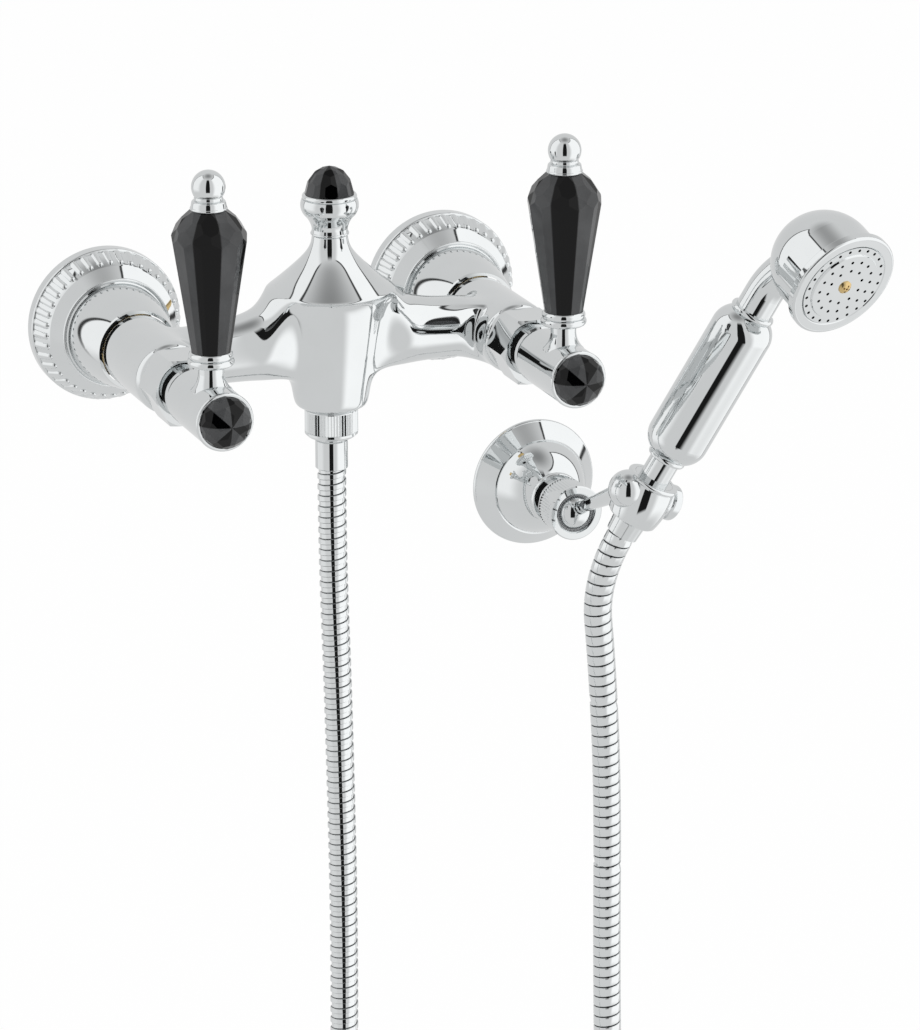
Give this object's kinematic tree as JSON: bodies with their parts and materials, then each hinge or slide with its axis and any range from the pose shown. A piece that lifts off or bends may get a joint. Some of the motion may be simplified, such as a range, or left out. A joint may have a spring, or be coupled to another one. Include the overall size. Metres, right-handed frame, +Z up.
{
  "type": "wall-mounted shower mixer",
  "caption": "Wall-mounted shower mixer with crystal levers and finial, ribbed hose, swivel wall bracket and handset.",
  "frame": {"origin": "on the wall surface, midway between the axes of the two water inlets", "axes": "+X to the right for someone facing the mixer, +Y into the wall along the inlet tails, +Z up"},
  "size_m": [0.3232, 0.1897, 0.7122],
  "materials": {
    "polished_chrome": "mirror-polished chrome plate",
    "ribbed_steel": "polished interlocked metal hose",
    "black_crystal": "cut and polished black glass",
    "raw_brass": "turned brass",
    "steel_fastener": "stainless steel",
    "white_ceramic": "lapped ceramic",
    "fibre_washer": "red fibre",
    "black_rubber": "matt rubber",
    "grey_nylon": "moulded nylon"
  },
  "bodies": {
    "root": {"bonnet_left": "polished_chrome", "bonnet_right": "polished_chrome", "bracket_flange": "polished_chrome", "bracket_post": "polished_chrome", "bracket_screws": "steel_fastener", "dome_cap": "polished_chrome", "finial_crystal": "black_crystal", "finial_cup": "polished_chrome", "fixed_discs": "white_ceramic", "hose_ferrule": "polished_chrome", "hose_nut": "polished_chrome", "hose_washer": "fibre_washer", "inlet_nipple_left": "polished_chrome", "inlet_nipple_right": "polished_chrome", "inlet_union_left": "raw_brass", "inlet_union_right": "raw_brass", "mixer_body": "polished_chrome", "outlet_nipple": "polished_chrome", "seat_seals": "black_rubber", "shower_hose": "ribbed_steel", "union_nut_left": "raw_brass", "union_nut_right": "raw_brass", "union_washers": "fibre_washer", "valve_cartridge_left": "raw_brass", "valve_cartridge_right": "raw_brass", "wall_flange_left": "polished_chrome", "wall_flange_right": "polished_chrome"},
    "lever_left": {"valve_spindle_left": "raw_brass", "turning_disc_left": "white_ceramic", "lever_hub_left": "polished_chrome", "hub_screw_left": "steel_fastener", "hub_cap_left": "polished_chrome", "hub_crystal_left": "black_crystal", "lever_collar_left": "polished_chrome", "lever_crystal_left": "black_crystal", "lever_rod_left": "steel_fastener", "lever_tip_left": "polished_chrome"},
    "lever_right": {"valve_spindle_right": "raw_brass", "turning_disc_right": "white_ceramic", "lever_hub_right": "polished_chrome", "hub_screw_right": "steel_fastener", "hub_cap_right": "polished_chrome", "hub_crystal_right": "black_crystal", "lever_collar_right": "polished_chrome", "lever_crystal_right": "black_crystal", "lever_rod_right": "steel_fastener", "lever_tip_right": "polished_chrome"},
    "lock_nut": {"lock_nut": "polished_chrome"},
    "ball_cup": {"ball_cup": "grey_nylon"},
    "ball_stud": {"ball_stud": "polished_chrome"},
    "holder_arm": {"swivel_arm": "polished_chrome", "holder": "polished_chrome"},
    "holder_knob": {"holder_knob": "polished_chrome"},
    "handset": {"hose_cone": "polished_chrome", "handset_grip": "polished_chrome", "handset_head": "polished_chrome", "head_gasket": "black_rubber", "spray_plate": "polished_chrome", "face_ring": "polished_chrome", "spray_screw": "raw_brass"}
  },
  "joints": [
    {"name": "lever_left_turn", "type": "hinge", "parent": "root", "child": "lever_left", "pos_m": [-0.075, -0.1357, 0], "axis": [0, -1, 0], "range_deg": [0, 90]},
    {"name": "lever_right_turn", "type": "hinge", "parent": "root", "child": "lever_right", "pos_m": [0.075, -0.1357, 0], "axis": [0, -1, 0], "range_deg": [0, 90]},
    {"name": "lock_nut_turn", "type": "hinge", "parent": "root", "child": "lock_nut", "pos_m": [0.1195, -0.044, -0.094], "axis": [0, -1, 0], "range_deg": [0, 180]},
    {"name": "bracket_yaw", "type": "hinge", "parent": "root", "child": "ball_cup", "pos_m": [0.1195, -0.044, -0.094], "axis": [0, 0, 1], "range_deg": [-5, 20], "deforming": ["shower_hose"]},
    {"name": "bracket_pitch", "type": "hinge", "parent": "ball_cup", "child": "ball_stud", "pos_m": [0.1195, -0.044, -0.094], "axis": [0.9953, 0.0964, 0], "range_deg": [-6, 40], "deforming": ["shower_hose"]},
    {"name": "bracket_spin", "type": "hinge", "parent": "ball_stud", "child": "holder_arm", "pos_m": [0.1195, -0.044, -0.094], "axis": [0.0863, -0.8917, 0.4443], "range_deg": [-20, 25], "deforming": ["shower_hose"]},
    {"name": "holder_knob_turn", "type": "hinge", "parent": "holder_arm", "child": "holder_knob", "pos_m": [0.14174, -0.0892, -0.0783], "axis": [0.9113, 0.0975, -0.4], "range_deg": [-90, 180]},
    {"name": "handset_lift", "type": "slide", "parent": "holder_arm", "child": "handset", "axis": [0.4117, -0.2367, 0.8801], "range_m": [0, 0.06], "deforming": ["shower_hose"]}
  ]
}
